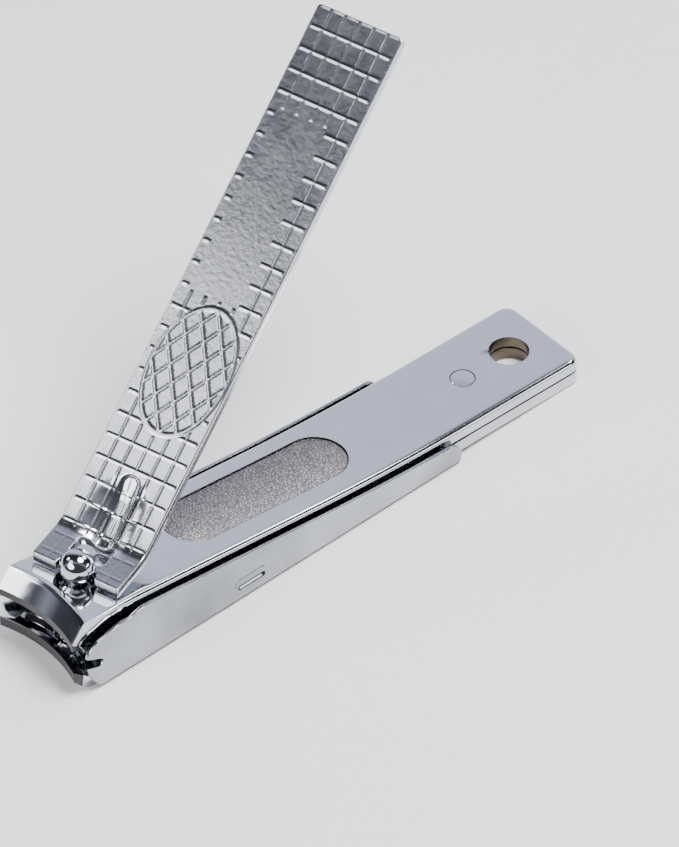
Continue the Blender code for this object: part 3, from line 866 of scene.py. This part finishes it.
class Nodes:
    """Short way to build a metal material from nodes."""

    def __init__(self, name, color, roughness):
        self.material = bpy.data.materials.new(name)
        self.material.use_nodes = True
        self.tree = self.material.node_tree
        self.shader = self.tree.nodes["Principled BSDF"]
        self.shader.inputs["Metallic"].default_value = 1.0
        self.shader.inputs["Base Color"].default_value = (*color, 1.0)
        self.shader.inputs["Roughness"].default_value = roughness
        self.place = self.add("ShaderNodeTexCoord").outputs["Object"]

    def add(self, kind, **values):
        node = self.tree.nodes.new(kind)
        for name, value in values.items():
            setattr(node, name, value)
        return node

    def link(self, source, target):
        self.tree.links.new(source, target)

    def stretched(self, scale):
        """Object coordinates scaled by a different amount along each axis."""
        mapping = self.add("ShaderNodeMapping")
        mapping.inputs["Scale"].default_value = scale
        self.link(self.place, mapping.inputs["Vector"])
        return mapping.outputs["Vector"]

    def noise(self, scale, detail=3.0, vector=None):
        node = self.add("ShaderNodeTexNoise")
        node.inputs["Scale"].default_value = scale
        node.inputs["Detail"].default_value = detail
        self.link(vector or self.place, node.inputs["Vector"])
        return node.outputs["Fac"]

    def remap(self, value, low, high):
        """Map 0.3..0.7 of a noise to low..high."""
        node = self.add("ShaderNodeMapRange")
        node.inputs["From Min"].default_value = 0.3
        node.inputs["From Max"].default_value = 0.7
        node.inputs["To Min"].default_value = low
        node.inputs["To Max"].default_value = high
        self.link(value, node.inputs["Value"])
        return node.outputs["Result"]

    def tint(self, value, dark, light):
        """Base colour that varies between two colours."""
        node = self.add("ShaderNodeValToRGB")
        node.color_ramp.elements[0].position = 0.3
        node.color_ramp.elements[1].position = 0.7
        node.color_ramp.elements[0].color = (*dark, 1.0)
        node.color_ramp.elements[1].color = (*light, 1.0)
        self.link(value, node.inputs["Fac"])
        self.link(node.outputs["Color"], self.shader.inputs["Base Color"])

    def bump(self, height, strength, distance):
        node = self.add("ShaderNodeBump")
        node.inputs["Strength"].default_value = strength
        node.inputs["Distance"].default_value = distance
        self.link(height, node.inputs["Height"])
        self.link(node.outputs["Normal"], self.shader.inputs["Normal"])


def chrome(name, smooth, worn, grain, relief, light=(0.57, 0.58, 0.61), cloud=(220.0, 0.94)):
    """Plated steel: faint smudges, fine polishing lines and a fine orange-peel relief.

    The cloud is the scale of the dark patches and how dark they are: faint, they are smudges;
    strong, as on the catcher's sheet, they are painted shade standing in for uneven reflections.
    """
    nodes = Nodes(name, light, smooth)
    smudges_and_painted_shade = nodes.noise(cloud[0], 4.0)
    lines = nodes.noise(900.0, 2.0, nodes.stretched((0.1, 1.0, 1.0)))
    mixed = nodes.add("ShaderNodeMath", operation="ADD")
    nodes.link(smudges_and_painted_shade, mixed.inputs[0])
    nodes.link(lines, mixed.inputs[1])
    halved = nodes.add("ShaderNodeMath", operation="MULTIPLY")
    halved.inputs[1].default_value = 0.5
    nodes.link(mixed.outputs[0], halved.inputs[0])
    nodes.link(nodes.remap(halved.outputs[0], smooth, worn), nodes.shader.inputs["Roughness"])
    nodes.tint(smudges_and_painted_shade, tuple(cloud[1] * value for value in light), light)
    nodes.bump(nodes.noise(grain, 3.0), 0.3, relief)
    return nodes.material


def etched_steel():
    """Warm grey file surface with fine etched teeth in relief, dark between them."""
    nodes = Nodes("etched_file", (0.33, 0.31, 0.31), 0.5)
    teeth = nodes.add("ShaderNodeTexVoronoi", feature="DISTANCE_TO_EDGE")
    teeth.inputs["Scale"].default_value = 2500.0
    nodes.link(nodes.stretched((0.75, 1.5, 1.0)), teeth.inputs["Vector"])
    height = nodes.add("ShaderNodeMapRange")
    height.inputs["From Max"].default_value = 0.35
    nodes.link(teeth.outputs["Distance"], height.inputs["Value"])
    nodes.tint(height.outputs["Result"], (0.17, 0.158, 0.158), (0.36, 0.34, 0.345))
    nodes.link(nodes.remap(nodes.noise(600.0), 0.42, 0.6), nodes.shader.inputs["Roughness"])
    nodes.bump(height.outputs["Result"], 0.7, 0.00005)
    return nodes.material


def paper_floor():
    """Pale matt studio paper with a faint grain."""
    nodes = Nodes("floor_paper", (0.88, 0.88, 0.88), 0.9)
    nodes.shader.inputs["Metallic"].default_value = 0.0
    nodes.bump(nodes.noise(2500.0, 2.0), 0.1, 0.00005)
    return nodes.material


# Studio -----------------------------------------------------------------------

def outward(azimuth, elevation):
    """Direction from the object; azimuth 0 is towards -Y and 90 is towards +X."""
    a, e = math.radians(azimuth), math.radians(elevation)
    return Vector((math.sin(a) * math.cos(e), -math.cos(a) * math.cos(e), math.sin(e)))


def far_camera():
    """Camera at the photograph's viewing angle."""
    back = outward(CAMERA_AZIMUTH, CAMERA_ELEVATION)
    distance = VIEW_HEIGHT * MM * LENS / SENSOR
    data = bpy.data.cameras.new("camera")
    data.lens = LENS
    data.sensor_width = SENSOR
    data.clip_start = distance * 0.1
    data.clip_end = distance * 3.0
    camera = bpy.data.objects.new("camera", data)
    bpy.context.collection.objects.link(camera)
    camera.rotation_mode = "QUATERNION"
    turn = (-back).to_track_quat("-Z", "Y").to_matrix().to_4x4()
    roll = Matrix.Rotation(math.radians(CAMERA_ROLL), 4, "Z")
    spot = Vector(CAMERA_TARGET) * MM + back * distance
    camera.matrix_world = Matrix.Translation(spot) @ turn @ roll
    bpy.context.scene.camera = camera


def softbox(name, target, out, distance, size, radiance, along=(0.0, 0.0, 1.0)):
    """Area light that faces a target from a direction, its width laid along a direction."""
    z_axis = Vector(out).normalized()
    x_axis = Vector(along)
    x_axis = (x_axis - x_axis.dot(z_axis) * z_axis).normalized()
    turn = Matrix((x_axis, z_axis.cross(x_axis), z_axis)).transposed()
    data = bpy.data.lights.new(name, "AREA")
    data.shape = "ELLIPSE"
    data.size, data.size_y = size
    data.energy = radiance * math.pi * (math.pi / 4.0 * size[0] * size[1])
    light = bpy.data.objects.new(name, data)
    bpy.context.collection.objects.link(light)
    light.rotation_mode = "QUATERNION"
    light.rotation_quaternion = turn.to_quaternion()
    light.location = Vector(target) * MM + z_axis * distance


def surround():
    """Studio room, bright behind the object on its right and dim on the left."""
    world = bpy.context.scene.world or bpy.data.worlds.new("studio")
    bpy.context.scene.world = world
    world.use_nodes = True
    tree = world.node_tree
    place = tree.nodes.new("ShaderNodeTexCoord")
    facing = tree.nodes.new("ShaderNodeVectorMath")
    facing.operation = "DOT_PRODUCT"
    facing.inputs[1].default_value = BRIGHT_SIDE
    shift = tree.nodes.new("ShaderNodeMapRange")
    shift.inputs["From Min"].default_value = -1.0
    ramp = tree.nodes.new("ShaderNodeValToRGB")
    while len(ramp.color_ramp.elements) < len(ROOM):
        ramp.color_ramp.elements.new(0.5)
    for stop, (facing_share, level) in zip(ramp.color_ramp.elements, ROOM):
        stop.position = facing_share
        stop.color = (*[level * tint for tint in ROOM_TINT], 1.0)
    tree.links.new(place.outputs["Generated"], facing.inputs[0])
    tree.links.new(facing.outputs["Value"], shift.inputs["Value"])
    tree.links.new(shift.outputs["Result"], ramp.inputs["Fac"])
    tree.links.new(ramp.outputs["Color"], tree.nodes["Background"].inputs["Color"])
    tree.nodes["Background"].inputs["Strength"].default_value = ROOM_STRENGTH


def studio():
    """Pale floor, soft lights and the surround."""
    bpy.ops.mesh.primitive_plane_add(size=FLOOR_SIZE, location=(0.0, 0.0, -FLOOR_GAP))
    floor = bpy.context.object
    floor.name = "floor"
    floor.data.materials.append(paper_floor())
    for name, azimuth, elevation, distance, size, radiance in LIGHTS:
        softbox(name, CAMERA_TARGET, outward(azimuth, elevation), distance, size, radiance)
    softbox("lever_light", LEVER_LIGHT_TARGET, LEVER_MIRROR, LEVER_LIGHT_DISTANCE,
            LEVER_LIGHT_SIZE, LEVER_LIGHT_RADIANCE, UP_LEVER)
    surround()


polished = chrome("polished_chrome", smooth=0.06, worn=0.13, grain=500.0, relief=0.000002)
stamped = chrome("stamped_chrome", smooth=0.14, worn=0.22, grain=1500.0, relief=0.00005)
# The catcher's sheet gets strong dark patches in its colour: painted shade for the uneven
# reflections on its plates.
sheet_chrome = chrome("sheet_chrome", smooth=0.10, worn=0.2, grain=120.0, relief=0.00003,
                      light=(0.44, 0.45, 0.48), cloud=(75.0, 0.55))
turned_chrome = chrome("turned_chrome", smooth=0.04, worn=0.10, grain=500.0, relief=0.000001)
bore_wall = chrome("bore_wall_chrome", smooth=0.12, worn=0.3, grain=500.0, relief=0.00001,
                   light=(0.13, 0.105, 0.08))
# Near-black chrome for the front of each jaw: painted shade.
painted_shade_lip = chrome("painted_shade_chrome", smooth=0.16, worn=0.3, grain=700.0, relief=0.00001,
                    light=(0.055, 0.052, 0.054))

upper_arm([polished, bore_wall, painted_shade_lip])
lower_arm([polished, bore_wall, painted_shade_lip])
rivet(turned_chrome)
nail_file(etched_steel())
pin(turned_chrome)
lever(stamped)
catcher(sheet_chrome)

far_camera()
studio()
